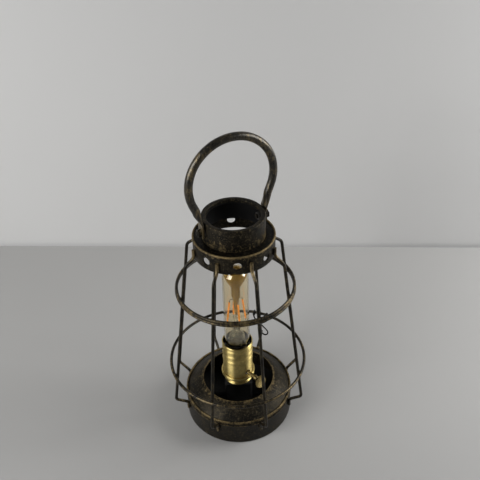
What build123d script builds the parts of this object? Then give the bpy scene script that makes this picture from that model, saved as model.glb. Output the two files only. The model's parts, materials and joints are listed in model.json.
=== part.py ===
from build123d import *
from math import atan, cos, hypot, pi, radians, sin, sqrt
import os

# Hanging lantern: a round base drum, a wire cage, a pierced collar with a short chimney,
# a swinging bail, and a keyed brass lamp holder with a tubular filament bulb.
# Millimetres. +Z is up, the front faces -Y, and the origin is the centre of the base
# on the surface that the lantern stands on.
# An azimuth is in degrees, from the front towards +X.

# base drum
drum_radius = 65.0
drum_height = 33.6
drum_sheet = 1.5
foot_gap = 0.8
foot_flange = 8.0
base_plate_thickness = 2.0
pad_radius = 7.0
pad_inset = 18.0
pad_count = 4
rim_wire = 2.2
shoulder_rise = 15.2
shoulder_skirt = 6.0
opening_radius = 43.3
opening_hem = 2.0

# cord inlet at the back of the drum
grommet_bore = 6.6
grommet_neck = 10.0
grommet_flange = 15.0
grommet_lip = 1.6

# bracket and threaded nipple under the lamp holder
bracket_span = 34.0
bracket_width = 20.0
bracket_sheet = 2.0
bracket_foot = 12.0
rivet_radius = 1.5
rivet_head_radius = 3.0
rivet_head_height = 1.4
rivet_spread = 12.0
nipple_radius = 5.0
nipple_bore = 3.5
nipple_drop = 8.0
nipple_reach = 4.6
nut_flats = 14.0
nut_height = 3.4
washer_radius = 9.0
washer_thickness = 1.2

# lamp holder
holder_height = 44.2
cap_hub_radius = 8.0
cap_hub_height = 3.3
cap_wall = 1.5
cap_ring_inset = 1.1
cap_ring_height = 3.5
cap_flange_width = 2.0
cap_flange_rise = 12.8
cap_flange_height = 4.0
cap_seat_rise = 1.0
cap_seat_width = 1.5
shell_wall = 1.2
shell_thread_depth = 0.5
shell_height = 50.2
shell_thread_low = 21.0
shell_thread_pitch = 8.4
shell_thread_count = 3
shell_rim_run = 0.7
liner_thickness = 0.5
liner_drop = 1.5
core_wall = 2.45
core_height = 40.0
core_floor = 18.0
screw_shell_wall = 0.5
screw_shell_height = 21.0
contact_thickness = 1.2
contact_radius = 6.0
terminal_radius = 1.5
terminal_depth = 5.5
terminal_head_radius = 2.5
terminal_head_height = 2.0
terminal_inset = 5.5

# switch key
key_azimuth = 42.0
key_rise = 8.7
key_turned = 43.0
stem_radius = 2.2
stem_reach = 14.7
stem_slot = 1.2
stem_slot_margin = 1.5
cam_side_gap = 2.5
cam_end_gap = 1.5
cam_start = 2.0
pocket_wall = 2.0
pocket_height = 15.5
key_window_radius = 4.0
paddle_length = 13.0
paddle_width = 16.0
paddle_thickness = 2.6
paddle_hub_radius = 3.2
paddle_hub_length = 3.5
paddle_hub_overlap = 1.2

# bulb
bulb_radius = 15.0
bulb_length = 140.5
glass_wall = 0.9
screw_radius = 13.15
screw_depth = 0.45
screw_height = 21.0
screw_run = 1.0
screw_pitch = 3.6
screw_count = 5
tip_radius = 4.5
tip_height = 1.2
insulator_height = 3.8
insulator_inset = 3.0
neck_inset = 0.4
neck_grip = 3.0
neck_straight = 3.5
neck_flare = 7.0
stem_foot_gap = 0.2
stem_foot_rim = 1.4
stem_wall = 1.2
stem_shoulder_inset = 2.2
stem_shoulder_rise = 4.2
stem_waist_inset = 5.0
stem_waist_drop = 13.0
stem_throat_inset = 6.4
stem_throat_drop = 7.0
stem_pinch_height = 48.5
stem_pinch_length = 3.5
stem_top_height = 70.9
stem_rod_radius = 1.8
filament_count = 4
filament_radius = 1.1
filament_side_gap = 2.5
filament_lean = 4.2
filament_low_height = 60.5
filament_length = 32.5
filament_azimuth = 18.0
lead_radius = 0.35
lead_inset = 0.3
funnel_rim_gap = 1.7
tail_tip_radius = 1.6
tail_radius = 4.0
tail_length = 27.1
funnel_neck_radius = 5.4
funnel_height = 30.0
funnel_wall = 0.8
funnel_floor = 2.0
funnel_waist_rise = 14.1
funnel_knee_step = 3.0
funnel_knee_rise = 7.0

# wire cage
rib_count = 8
rib_azimuth = 22.5
rib_wire = 3.6
rib_spread_low = 11.4
rib_spread_high = 18.0
lower_ring_height = 82.5
upper_ring_drop = 47.7
lower_ring_wire = 3.6
upper_ring_wire = 3.4
rib_tab_rise = 13.4
rib_tab_bend_rise = 3.0
rib_flare_drop = 5.3
rib_knee_rise = 8.4
rib_foot_drop = 3.1
rib_foot_length = 10.0
rib_tab_bend = 5.5
rib_flare_bend = 8.0
rib_knee_bend = 5.0
rib_foot_bend = 4.0

# wire tie on the lower ring
tie_wire = 1.4
tie_azimuth = 157.5
tie_bend = 2.6
tie_gap = 0.1
# each wire's places beside the tied rib: along the ring, and down from the ring
tie_left = ((13.5, 0.3), (3.0, 20.5), (3.6, 33.0), (1.6, 40.0), (-1.0, 42.0))
tie_right = ((-12.5, 0.3), (-2.0, 20.0), (-8.8, 31.0), (-8.0, 40.5), (-1.5, 44.0))

# collar and chimney
collar_radius = 44.0
collar_sheet = 1.6
collar_bottom = 240.6
collar_height = 21.8
collar_bead = 2.4
collar_hole_radius = 4.5
collar_hole_rise = 10.2
collar_hole_azimuth = 4.0
collar_hole_count = 8
ledge_drop = 1.4
ledge_sheet = 1.5
chimney_radius = 33.7
chimney_sheet = 1.6
chimney_rise = 25.2
lip_sheet = 1.6
lip_turn = 5.2
lip_turn_sheet = 1.2
lip_width = 5.3

# bail and its pivots
pivot_azimuth = 116.0
pivot_rise = 13.5
bail_bar = 8.6
bail_radius = 47.0
bail_centre_rise = 51.5
bail_wrap = 22.0
bail_leg = 8.0
strap_thickness = 3.0
strap_width = 11.0
strap_top_rise = 10.5
strap_end_drop = 5.0
bolt_radius = 2.5
bolt_head_radius = 4.6
bolt_head_height = 4.2
bolt_nut_flats = 8.0
bolt_nut_height = 3.5
bolt_end = 0.8
pivot_washer_radius = 5.4
pivot_washer_thickness = 0.8

# broken edges on turned and pressed pieces
edge_break = 0.5

# a cutter reaches this far beyond the wall that it passes through
cut_reach = 6.0

# clearances
weld_gap = 0.02
seat_gap = 0.05
running_gap = 0.08
side_gap = 0.15
bulb_gap = 0.35

# heights and radii that follow from them
plate_bottom = foot_gap + drum_sheet
plate_top = plate_bottom + base_plate_thickness
drum_bore = drum_radius - drum_sheet
cone_radius = drum_bore - seat_gap
shoulder_top = drum_height + shoulder_rise
skirt_bottom = drum_height - shoulder_skirt
grommet_height = (plate_top + skirt_bottom) / 2
bracket_top = holder_height - washer_thickness
cap_floor = holder_height + cap_hub_height + cap_wall
seat_height = holder_height + cap_flange_rise + cap_seat_rise
shell_top = seat_height + shell_height
well_radius = screw_radius + bulb_gap + screw_shell_wall + seat_gap
core_radius = well_radius + core_wall
shell_bore = core_radius + liner_thickness + 2 * seat_gap
shell_radius = shell_bore + shell_wall
shell_root = shell_radius - shell_thread_depth
cap_ring_radius = shell_radius - cap_ring_inset
cap_flange_radius = shell_radius + cap_flange_width
terminal_spread = core_radius - terminal_inset
pocket_size = 2 * (terminal_spread - terminal_radius - pocket_wall)
cam_radius = pocket_size / 2 - cam_side_gap
cam_end = pocket_size / 2 - cam_end_gap
key_height = seat_height + key_rise
stem_length = shell_radius + stem_reach
screw_root = screw_radius - screw_depth
insulator_radius = screw_root - insulator_inset
neck_radius = screw_root - neck_inset
bulb_inside = bulb_radius - glass_wall
filament_low_radius = bulb_inside - filament_side_gap
filament_top_radius = filament_low_radius - filament_lean
funnel_rim_radius = bulb_inside - funnel_rim_gap
bulb_bottom = seat_height + core_floor + contact_thickness + bulb_gap
bulb_top = bulb_bottom + bulb_length
screw_bottom = bulb_bottom + tip_height + insulator_height
screw_top = screw_bottom + screw_height
glass_bottom = screw_top - neck_grip
tail_bottom = bulb_bottom + stem_top_height + seat_gap
funnel_bottom = tail_bottom + tail_length
rib_radius_low = drum_radius + rib_spread_low
rib_radius_high = collar_radius + rib_spread_high
upper_ring_height = collar_bottom - upper_ring_drop
rib_slope = (rib_radius_low - rib_radius_high) / (upper_ring_height - lower_ring_height)
rib_lean = atan(rib_slope)
collar_top = collar_bottom + collar_height
ledge_top = collar_top - ledge_drop
chimney_top = ledge_top + chimney_rise
chimney_mouth_radius = chimney_radius - lip_width
pivot_height = ledge_top + pivot_rise
strap_inside = chimney_radius + seat_gap + pivot_washer_thickness + side_gap
strap_outside = strap_inside + strap_thickness


# A piece modelled with its radius along +X is turned to an azimuth.
def facing(azimuth):
    return Rot(0, 0, azimuth - 90)


def outline(*points):
    return Polyline(*points, close=True).edges()


def turned(edges):
    return revolve(Plane.XZ * make_face(edges), Axis.Z)


def tube(outer, inner, low, high):
    return turned(outline((inner, low), (outer, low), (outer, high), (inner, high)))


def disc(radius, low, high):
    return Pos(0, 0, (low + high) / 2) * Cylinder(radius, high - low)


# A round bar along +X, at a height.
def cross_bar(radius, start, end, height):
    return Pos((start + end) / 2, 0, height) * Rot(0, 90, 0) * Cylinder(radius, end - start)


def hoop(radius, wire, height):
    return Pos(0, 0, height) * Torus(radius, wire / 2)


def bent_wire(points, bends, wire):
    path = FilletPolyline(*points, radius=bends)
    return sweep(Plane(path ^ 0) * Circle(wire / 2), path=path)


def rod(start, end, radius):
    path = Line(start, end)
    return sweep(Plane(path ^ 0) * Circle(radius), path=path)


def hex_nut(flats, height, bore):
    nut = extrude(RegularPolygon(flats / 2, 6, major_radius=False), height)
    return nut - Cylinder(bore, 3 * height)


# Rounded crests, one above the other, on a turned wall.
def crests(root, crest, low, pitch, count):
    edges = []
    for turn in range(count):
        start = low + turn * pitch
        edges.append(ThreePointArc((root, start), (crest, start + pitch / 2), (root, start + pitch)))
    return edges


def rib_radius(height):
    return rib_radius_low - (height - lower_ring_height) * rib_slope


# A ring outside the ribs touches every one of them.
def ring_radius(height, wire):
    return rib_radius(height) + (rib_wire / 2 + wire / 2 + weld_gap) / cos(rib_lean)


# Base

def base_drum():
    wall = turned(outline(
        (drum_radius - foot_flange, foot_gap),
        (drum_radius, foot_gap),
        (drum_radius, drum_height),
        (drum_bore, drum_height),
        (drum_bore, plate_bottom),
        (drum_radius - foot_flange, plate_bottom),
    ))
    inlet = cross_bar(grommet_neck / 2, drum_radius - cut_reach, drum_radius + cut_reach, grommet_height)
    return wall - facing(180) * inlet


def base_plate():
    plate = disc(drum_bore - seat_gap, plate_bottom, plate_top)
    for x, y in rivet_places():
        plate -= Pos(x, y, plate_top) * Cylinder(rivet_radius + seat_gap, 4 * base_plate_thickness)
    return plate


def foot_pads():
    reach = drum_radius - pad_inset
    pads = []
    for number in range(pad_count):
        place = facing(45 + number * 360 / pad_count) * Pos(reach, 0, 0)
        pads.append(place * disc(pad_radius, 0, plate_bottom))
    return Compound(children=pads)


# Cone sheet from inside the drum's upper edge to the round opening, hemmed there.
def base_shoulder():
    outer = cone_radius
    run = outer - opening_radius
    rise = shoulder_rise
    drop = drum_sheet * hypot(run, rise) / run
    cone = turned(outline(
        (outer - drum_sheet, skirt_bottom),
        (outer, skirt_bottom),
        (outer, drum_height),
        (opening_radius, shoulder_top),
        (opening_radius, shoulder_top - drop),
        (outer - drum_sheet, drum_height - drop + drum_sheet * rise / run),
    ))
    return cone + hoop(opening_radius, opening_hem, shoulder_top - opening_hem / 2)


# Bead laid in the corner between the drum wall's edge and the cone.
def drum_rim():
    run = cone_radius - opening_radius
    slant = hypot(run, shoulder_rise)
    half = rim_wire / 2 + weld_gap
    out = (half - half * run / slant) * slant / shoulder_rise
    return hoop(cone_radius + out, rim_wire, drum_height + half)


def cord_grommet():
    flange = grommet_flange / 2
    inner_face = sqrt(drum_bore**2 - flange**2) - seat_gap
    outer_face = drum_radius + seat_gap
    start = inner_face - grommet_lip
    end = outer_face + grommet_lip
    body = cross_bar(grommet_neck / 2 - seat_gap, start, end, grommet_height)
    body += cross_bar(flange, start, inner_face, grommet_height)
    body += cross_bar(flange, outer_face, end, grommet_height)
    body -= cross_bar(grommet_bore / 2, start - cut_reach, end + cut_reach, grommet_height)
    return facing(180) * body


# Holder bracket

def rivet_places():
    reach = bracket_span / 2 + bracket_foot / 2
    return [(x, y) for x in (-reach, reach) for y in (-rivet_spread / 2, rivet_spread / 2)]


# Hat-shaped strap that stands on the base plate.
def holder_bracket():
    half = bracket_span / 2
    foot = half + bracket_foot
    sheet = bracket_sheet
    right = [
        (foot, plate_top),
        (foot, plate_top + sheet),
        (half, plate_top + sheet),
        (half, bracket_top),
    ]
    inside = [
        (half - sheet, bracket_top - sheet),
        (half - sheet, plate_top),
    ]
    left = [(-x, z) for x, z in reversed(right)]
    inside_left = [(-x, z) for x, z in reversed(inside)]
    profile = Plane.XZ * make_face(outline(*right, *left, *inside_left, *inside))
    strap = extrude(profile, bracket_width / 2, both=True)
    strap -= Pos(0, 0, bracket_top) * Cylinder(nipple_radius + seat_gap, 4 * sheet)
    for x, y in rivet_places():
        strap -= Pos(x, y, plate_top) * Cylinder(rivet_radius + seat_gap, 4 * sheet)
    return strap


def bracket_rivets():
    foot_top = plate_top + bracket_sheet
    rivets = []
    for x, y in rivet_places():
        rivet = disc(rivet_radius, plate_bottom, foot_top)
        rivet += disc(rivet_head_radius, foot_top, foot_top + rivet_head_height)
        rivets.append(Pos(x, y, 0) * rivet)
    return Compound(children=rivets)


def threaded_nipple():
    low = bracket_top - nipple_drop
    return tube(nipple_radius, nipple_bore, low, cap_floor + nipple_reach)


def nipple_nuts():
    bore = nipple_radius + seat_gap
    below = Pos(0, 0, bracket_top - bracket_sheet - nut_height) * hex_nut(nut_flats, nut_height, bore)
    above = Pos(0, 0, cap_floor) * hex_nut(nut_flats, nut_height, bore)
    return Compound(children=[below, above])


def holder_washer():
    return tube(washer_radius, nipple_radius + seat_gap, bracket_top, holder_height)


# Lamp holder

# Turned cup: a hub, a lower ring, a waist and a flange with the seat for the shell.
def socket_cap():
    ring_low = holder_height + cap_hub_height
    flange_low = holder_height + cap_flange_rise
    flange_top = flange_low + cap_flange_height
    bore = nipple_radius + seat_gap
    pocket = shell_radius + seat_gap
    seat_inside = core_radius - cap_seat_width
    ring_high = ring_low + cap_ring_height
    waist_high = flange_low - 2 * edge_break
    return turned(outline(
        (bore, holder_height),
        (cap_hub_radius, holder_height),
        (cap_hub_radius, ring_low),
        (cap_ring_radius - edge_break, ring_low),
        (cap_ring_radius, ring_low + edge_break),
        (cap_ring_radius, ring_high - edge_break),
        (cap_ring_radius - edge_break, ring_high),
        (pocket + edge_break, waist_high),
        (cap_flange_radius - edge_break, flange_low - edge_break),
        (cap_flange_radius, flange_low),
        (cap_flange_radius, flange_top - edge_break),
        (cap_flange_radius - edge_break, flange_top),
        (pocket, flange_top),
        (pocket, seat_height),
        (seat_inside, seat_height),
        (seat_inside, seat_height - cap_wall),
        (cap_ring_radius - cap_wall, ring_high),
        (cap_ring_radius - cap_wall, cap_floor),
        (bore, cap_floor),
    ))


def key_window(radius):
    window = cross_bar(radius, core_radius - edge_break, shell_radius + cut_reach, key_height)
    return facing(key_azimuth) * window


# Smooth barrel below, rolled crests above and a plain rim.
def socket_shell():
    low = seat_height + shell_thread_low
    high = low + shell_thread_pitch * shell_thread_count
    outside = Polyline(
        (shell_bore, shell_top),
        (shell_bore, seat_height),
        (shell_radius, seat_height),
        (shell_radius, low - shell_rim_run),
        (shell_root, low),
    ).edges()
    outside += crests(shell_root, shell_radius, low, shell_thread_pitch, shell_thread_count)
    rim = Polyline(
        (shell_root, high),
        (shell_radius, high + shell_rim_run),
        (shell_radius, shell_top - edge_break),
        (shell_radius - edge_break, shell_top),
        (shell_bore, shell_top),
    ).edges()
    return turned(outside + rim) - key_window(key_window_radius)


def socket_liner():
    outer = shell_bore - seat_gap
    sleeve = tube(outer, outer - liner_thickness, seat_height, shell_top - liner_drop)
    return sleeve - key_window(key_window_radius)


def terminal_places():
    return [facing(key_azimuth + side) * Pos(terminal_spread, 0, 0) for side in (-90, 90)]


# Porcelain body: a well for the screw shell above, a pocket for the switch cam below.
def socket_core():
    floor = seat_height + core_floor
    top = seat_height + core_height
    body = disc(core_radius, seat_height, top)
    body -= disc(well_radius, floor, top + cut_reach)
    pocket = Box(pocket_size, pocket_size, pocket_height, align=(Align.CENTER, Align.CENTER, Align.MIN))
    body -= facing(key_azimuth) * Pos(0, 0, seat_height) * pocket
    stem_bore = cross_bar(stem_radius + running_gap, 0, core_radius + cut_reach, key_height)
    body -= facing(key_azimuth) * stem_bore
    for place in terminal_places():
        hole_top = seat_height + terminal_depth + edge_break
        body -= place * disc(terminal_radius + seat_gap, seat_height - edge_break, hole_top)
    return body


def terminal_screws():
    low = seat_height - terminal_head_height
    screws = []
    for place in terminal_places():
        screw = disc(terminal_radius, low, seat_height + terminal_depth)
        screw += disc(terminal_head_radius, low, seat_height - seat_gap)
        screws.append(place * screw)
    return Compound(children=screws)


def screw_shell():
    outer = well_radius - seat_gap
    floor = seat_height + core_floor
    return tube(outer, outer - screw_shell_wall, floor, floor + screw_shell_height)


def centre_contact():
    floor = seat_height + core_floor
    return disc(contact_radius, floor, floor + contact_thickness)


# Switch key

def key_stem():
    stem = cross_bar(stem_radius, cam_start, stem_length, key_height)
    stem += cross_bar(cam_radius, cam_start, cam_end, key_height)
    slot_start = shell_radius + stem_slot_margin
    slot_length = stem_length - paddle_hub_length - edge_break - slot_start
    slot = Box(slot_length, stem_slot, 4 * stem_radius)
    place = Pos(slot_start + slot_length / 2, 0, key_height) * Rot(-key_turned, 0, 0)
    return facing(key_azimuth) * (stem - place * slot)


def key_paddle():
    reach = stem_length + weld_gap + paddle_length / 2
    blade = extrude(Ellipse(paddle_length / 2, paddle_width / 2), paddle_thickness / 2, both=True)
    blade = Pos(reach, 0, key_height) * Rot(90 - key_turned, 0, 0) * blade
    hub_start = stem_length - paddle_hub_length
    hub = cross_bar(paddle_hub_radius, hub_start, stem_length + paddle_hub_overlap, key_height)
    bore = cross_bar(stem_radius + weld_gap, 0, stem_length + weld_gap, key_height)
    return facing(key_azimuth) * (blade + hub - bore)


# Bulb

def bulb_tip():
    return disc(tip_radius, bulb_bottom, bulb_bottom + tip_height)


def bulb_insulator():
    low = bulb_bottom + tip_height
    high = low + insulator_height
    return turned(outline((0, low), (tip_radius + edge_break, low), (insulator_radius, high), (0, high)))


def bulb_screw():
    low = screw_bottom
    thread_low = low + screw_run
    thread_high = thread_low + screw_pitch * screw_count
    inner = neck_radius + seat_gap
    edges = Polyline(
        (inner, screw_top),
        (inner, thread_low),
        (insulator_radius, low + edge_break),
        (insulator_radius, low),
        (screw_root - edge_break, low),
        (screw_root, thread_low),
    ).edges()
    edges += crests(screw_root, screw_radius, thread_low, screw_pitch, screw_count)
    edges += Polyline(
        (screw_root, thread_high),
        (screw_root, screw_top),
        (inner, screw_top),
    ).edges()
    return turned(edges)


def quarter_arc(radius, centre):
    bend = radius * sin(pi / 4)
    return ThreePointArc((radius, centre), (bend, centre + bend), (0, centre + radius))


def bulb_glass():
    neck_top = glass_bottom + neck_straight
    tube_low = neck_top + neck_flare
    bend = glass_wall / 3
    centre = bulb_top - bulb_radius
    edges = Polyline(
        (neck_radius, glass_bottom),
        (neck_radius, neck_top),
        (bulb_radius, tube_low),
        (bulb_radius, centre),
    ).edges()
    edges.append(quarter_arc(bulb_radius, centre))
    edges.append(Line((0, bulb_top), (0, bulb_top - glass_wall)))
    edges.append(quarter_arc(bulb_inside, centre))
    edges += Polyline(
        (bulb_inside, centre),
        (bulb_inside, tube_low + bend),
        (neck_radius - glass_wall, neck_top + bend),
        (neck_radius - glass_wall, glass_bottom),
        (neck_radius, glass_bottom),
    ).edges()
    return turned(edges)


# Glass mount: a hollow flare in the neck, a pinch and a rod.
def bulb_stem():
    low = glass_bottom + edge_break
    pinch = bulb_bottom + stem_pinch_height
    top = bulb_bottom + stem_top_height
    foot = neck_radius - glass_wall - stem_foot_gap
    outside = [
        (foot, low),
        (foot, low + stem_foot_rim),
        (foot - stem_shoulder_inset, low + stem_shoulder_rise),
        (foot - stem_waist_inset, pinch - stem_waist_drop),
        (foot - stem_throat_inset, pinch - stem_throat_drop),
    ]
    above = [
        (2 * stem_rod_radius, pinch - stem_pinch_length / 2),
        (2 * stem_rod_radius, pinch + stem_pinch_length / 2),
        (stem_rod_radius, pinch + stem_pinch_length),
        (stem_rod_radius, top - edge_break),
        (stem_rod_radius - edge_break, top),
        (0, top),
        (0, pinch - stem_pinch_length),
    ]
    inside = [(radius - stem_wall, height) for radius, height in reversed(outside)]
    return turned(outline(*outside, *above, *inside))


# A tapered tail over the rod, then a funnel that is closed below and flares to nearly the glass.
def bulb_top_mount():
    low = funnel_bottom
    high = low + funnel_height
    neck = funnel_neck_radius
    waist = low + funnel_waist_rise
    outside = [
        (neck, waist),
        (neck + funnel_knee_step, waist + funnel_knee_rise),
        (funnel_rim_radius, high),
    ]
    inside = [(radius - funnel_wall, height) for radius, height in reversed(outside)]
    tail = [(0, tail_bottom), (tail_tip_radius, tail_bottom), (tail_radius, low)]
    foot = [(neck - 2 * edge_break, low), (neck, low + 2 * edge_break)]
    floor = [(neck - funnel_wall, low + funnel_floor), (0, low + funnel_floor)]
    return turned(outline(*tail, *foot, *outside, *inside, *floor))


def filament_ends():
    low = bulb_bottom + filament_low_height
    return (filament_low_radius, 0, low), (filament_top_radius, 0, low + filament_length)


def filament_turns():
    return [facing(filament_azimuth + n * 360 / filament_count) for n in range(filament_count)]


def filaments():
    low, high = filament_ends()
    return Compound(children=[turn * rod(low, high, filament_radius) for turn in filament_turns()])


def lower_leads():
    low, high = filament_ends()
    start = (2 * stem_rod_radius + lead_inset, 0, bulb_bottom + stem_pinch_height - lead_radius)
    end = (low[0], 0, low[2] - lead_radius)
    return Compound(children=[turn * rod(start, end, lead_radius) for turn in filament_turns()])


def upper_leads():
    low, high = filament_ends()
    start = (high[0], 0, high[2] + lead_radius)
    end = (tail_radius + lead_inset, 0, funnel_bottom - 3 * lead_radius)
    return Compound(children=[turn * rod(start, end, lead_radius) for turn in filament_turns()])


# Wire cage

# One rib: a tab on the collar, a flare, the long slanted run, and a foot welded to the drum.
def cage_rib(number):
    tab = collar_radius + rib_wire / 2 + weld_gap
    foot = drum_radius + rib_wire / 2 + weld_gap
    flare = collar_bottom - rib_flare_drop
    knee = drum_height + rib_knee_rise
    points = [
        (tab, 0, collar_bottom + rib_tab_rise),
        (tab, 0, collar_bottom + rib_tab_bend_rise),
        (rib_radius(flare), 0, flare),
        (rib_radius(knee), 0, knee),
        (foot, 0, drum_height - rib_foot_drop),
        (foot, 0, drum_height - rib_foot_drop - rib_foot_length),
    ]
    bends = [rib_tab_bend, rib_flare_bend, rib_knee_bend, rib_foot_bend]
    return facing(rib_azimuth + number * 360 / rib_count) * bent_wire(points, bends, rib_wire)


def upper_ring(side):
    height = upper_ring_height + side * (upper_ring_wire + weld_gap) * cos(rib_lean) / 2
    return hoop(ring_radius(height, upper_ring_wire), upper_ring_wire, height)


def lower_ring():
    return hoop(ring_radius(lower_ring_height, lower_ring_wire), lower_ring_wire, lower_ring_height)


# A place beside the tied rib: along the ring, down from the ring, and out from the rib.
def tie_point(along, down, layer):
    height = lower_ring_height - lower_ring_wire / 2 - tie_wire / 2 - down
    out = (rib_wire + tie_wire) / 2 + tie_gap + layer * (tie_wire + tie_gap)
    return (rib_radius(height) + out, along, height)


# Two thin wires that start under the ring, cross outside the rib and end in loose loops.
def ring_tie():
    wires = []
    for layer, places in enumerate((tie_left, tie_right)):
        points = [tie_point(along, down, layer) for along, down in places]
        bends = [tie_bend] * (len(points) - 2)
        wires.append(facing(tie_azimuth) * bent_wire(points, bends, tie_wire))
    return Compound(children=wires)


# Collar and chimney

def collar_band():
    band = tube(collar_radius, collar_radius - collar_sheet, collar_bottom, collar_top - collar_bead)
    start = collar_radius - cut_reach
    end = collar_radius + cut_reach
    hole = cross_bar(collar_hole_radius, start, end, collar_bottom + collar_hole_rise)
    for number in range(collar_hole_count):
        band -= facing(collar_hole_azimuth + number * 360 / collar_hole_count) * hole
    return band


def collar_rim():
    return hoop(collar_radius - collar_sheet / 2, collar_bead - 2 * weld_gap, collar_top - collar_bead / 2)


def collar_ledge():
    inner_bead = collar_radius - collar_sheet / 2 - collar_bead / 2
    outer = min(collar_radius - collar_sheet, inner_bead) - seat_gap
    return tube(outer, chimney_radius + seat_gap, ledge_top - ledge_sheet, ledge_top)


def chimney_tube():
    inner = chimney_radius - chimney_sheet
    wall = tube(chimney_radius, inner, ledge_top - ledge_sheet, chimney_top - lip_sheet)
    hole = cross_bar(bolt_radius + seat_gap, -2 * chimney_radius, 2 * chimney_radius, pivot_height)
    return wall - facing(pivot_azimuth) * hole


# Flat lip turned in over the tube's edge and down inside the mouth.
def chimney_lip():
    low = chimney_top - lip_sheet
    turn = chimney_mouth_radius + lip_turn_sheet
    return turned(outline(
        (chimney_mouth_radius, chimney_top - lip_turn),
        (turn, chimney_top - lip_turn),
        (turn, low),
        (chimney_radius, low),
        (chimney_radius, chimney_top - edge_break),
        (chimney_radius - edge_break, chimney_top),
        (chimney_mouth_radius + edge_break, chimney_top),
        (chimney_mouth_radius, chimney_top - edge_break),
    ))


# Bail

# Round bar bent to an open ring, its ends drawn out flat and drilled for the pivot bolts.
def bail_handle():
    centre = pivot_height + bail_centre_rise
    wrap = radians(bail_wrap)
    down = Vector(-sin(wrap), 0, -cos(wrap))
    right_end = Vector(bail_radius * cos(wrap), 0, centre - bail_radius * sin(wrap))
    right_leg = right_end + down * bail_leg
    mirrored = [Vector(-p.X, 0, p.Z) for p in (right_leg, right_end)]
    bend = ThreePointArc(right_end, (0, 0, centre + bail_radius), mirrored[1])
    path = Wire([Line(right_leg, right_end), bend, Line(mirrored[1], mirrored[0])])
    bar = sweep(Plane(right_leg, z_dir=-down) * Circle(bail_bar / 2), path=path)
    strap_top = pivot_height + strap_top_rise
    strap_middle = (strap_inside + strap_outside) / 2
    round_end = Plane(right_leg, x_dir=(0, 1, 0), z_dir=-down) * Circle(bail_bar / 2)
    flat_end = Plane((strap_middle, 0, strap_top), x_dir=(0, 1, 0), z_dir=(0, 0, 1)) * RectangleRounded(
        strap_width, strap_thickness, strap_thickness / 2.2)
    drawn = loft([flat_end, round_end])
    strap_low = pivot_height - strap_end_drop
    strap = Pos(strap_middle, 0, (strap_top + strap_low) / 2) * Box(
        strap_thickness, strap_width, strap_top - strap_low)
    strap += cross_bar(strap_width / 2, strap_inside, strap_outside, strap_low)
    strap -= cross_bar(bolt_radius + running_gap, 0, strap_outside + cut_reach, pivot_height)
    end = drawn + strap
    return facing(pivot_azimuth) * (bar + end + Rot(0, 0, 180) * end)


# Where a nut's corners meet the chimney's inner wall.
def pivot_nut_face():
    corner = bolt_nut_flats / sqrt(3)
    return sqrt((chimney_radius - chimney_sheet) ** 2 - corner**2) - seat_gap


# Bolt from inside the chimney, with a domed head outside the strap.
def pivot_bolt(side):
    head = strap_outside + side_gap
    radius = (bolt_head_radius**2 + bolt_head_height**2) / (2 * bolt_head_height)
    centre = head + bolt_head_height - radius
    bend = radius * sin(pi / 4)
    edges = Polyline((head + bolt_head_height, 0), (head, 0), (head, bolt_head_radius)).edges()
    edges.append(ThreePointArc((head, bolt_head_radius), (centre + bend, bend), (head + bolt_head_height, 0)))
    dome = Pos(0, 0, pivot_height) * revolve(make_face(edges), Axis.X)
    shank_start = pivot_nut_face() - bolt_nut_height - bolt_end
    shank = cross_bar(bolt_radius, shank_start, head + edge_break, pivot_height)
    return facing(pivot_azimuth + side) * (shank + dome)


def pivot_washers():
    low = chimney_radius + seat_gap
    high = low + pivot_washer_thickness
    washer = cross_bar(pivot_washer_radius, low, high, pivot_height)
    washer -= cross_bar(bolt_radius + seat_gap, 0, high + cut_reach, pivot_height)
    return Compound(children=[facing(pivot_azimuth + side) * washer for side in (0, 180)])


def pivot_nuts():
    place = Pos(pivot_nut_face() - bolt_nut_height, 0, pivot_height) * Rot(0, 90, 0)
    nut = place * hex_nut(bolt_nut_flats, bolt_nut_height, bolt_radius + seat_gap)
    return Compound(children=[facing(pivot_azimuth + side) * nut for side in (0, 180)])


nodes = {
    "base_drum": base_drum(),
    "base_plate": base_plate(),
    "foot_pads": foot_pads(),
    "base_shoulder": base_shoulder(),
    "drum_rim": drum_rim(),
    "cord_grommet": cord_grommet(),
    "holder_bracket": holder_bracket(),
    "bracket_rivets": bracket_rivets(),
    "threaded_nipple": threaded_nipple(),
    "nipple_nuts": nipple_nuts(),
    "holder_washer": holder_washer(),
    "socket_cap": socket_cap(),
    "socket_shell": socket_shell(),
    "socket_liner": socket_liner(),
    "socket_core": socket_core(),
    "terminal_screws": terminal_screws(),
    "screw_shell": screw_shell(),
    "centre_contact": centre_contact(),
    "key_stem": key_stem(),
    "key_paddle": key_paddle(),
    "bulb_tip": bulb_tip(),
    "bulb_insulator": bulb_insulator(),
    "bulb_screw": bulb_screw(),
    "bulb_glass": bulb_glass(),
    "bulb_stem": bulb_stem(),
    "bulb_top_mount": bulb_top_mount(),
    "filaments": filaments(),
    "lower_leads": lower_leads(),
    "upper_leads": upper_leads(),
    "upper_ring_top": upper_ring(1),
    "upper_ring_bottom": upper_ring(-1),
    "lower_ring": lower_ring(),
    "ring_tie": ring_tie(),
    "collar_band": collar_band(),
    "collar_rim": collar_rim(),
    "collar_ledge": collar_ledge(),
    "chimney_tube": chimney_tube(),
    "chimney_lip": chimney_lip(),
    "bail_handle": bail_handle(),
    "pivot_bolt_right": pivot_bolt(0),
    "pivot_bolt_left": pivot_bolt(180),
    "pivot_washers": pivot_washers(),
    "pivot_nuts": pivot_nuts(),
}
for number in range(rib_count):
    nodes[f"cage_rib_{number + 1}"] = cage_rib(number)

os.makedirs("parts", exist_ok=True)
for name, shape in nodes.items():
    export_step(shape, f"parts/{name}.step")
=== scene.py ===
import bpy
import json
import math
from mathutils import Matrix, Vector


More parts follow.
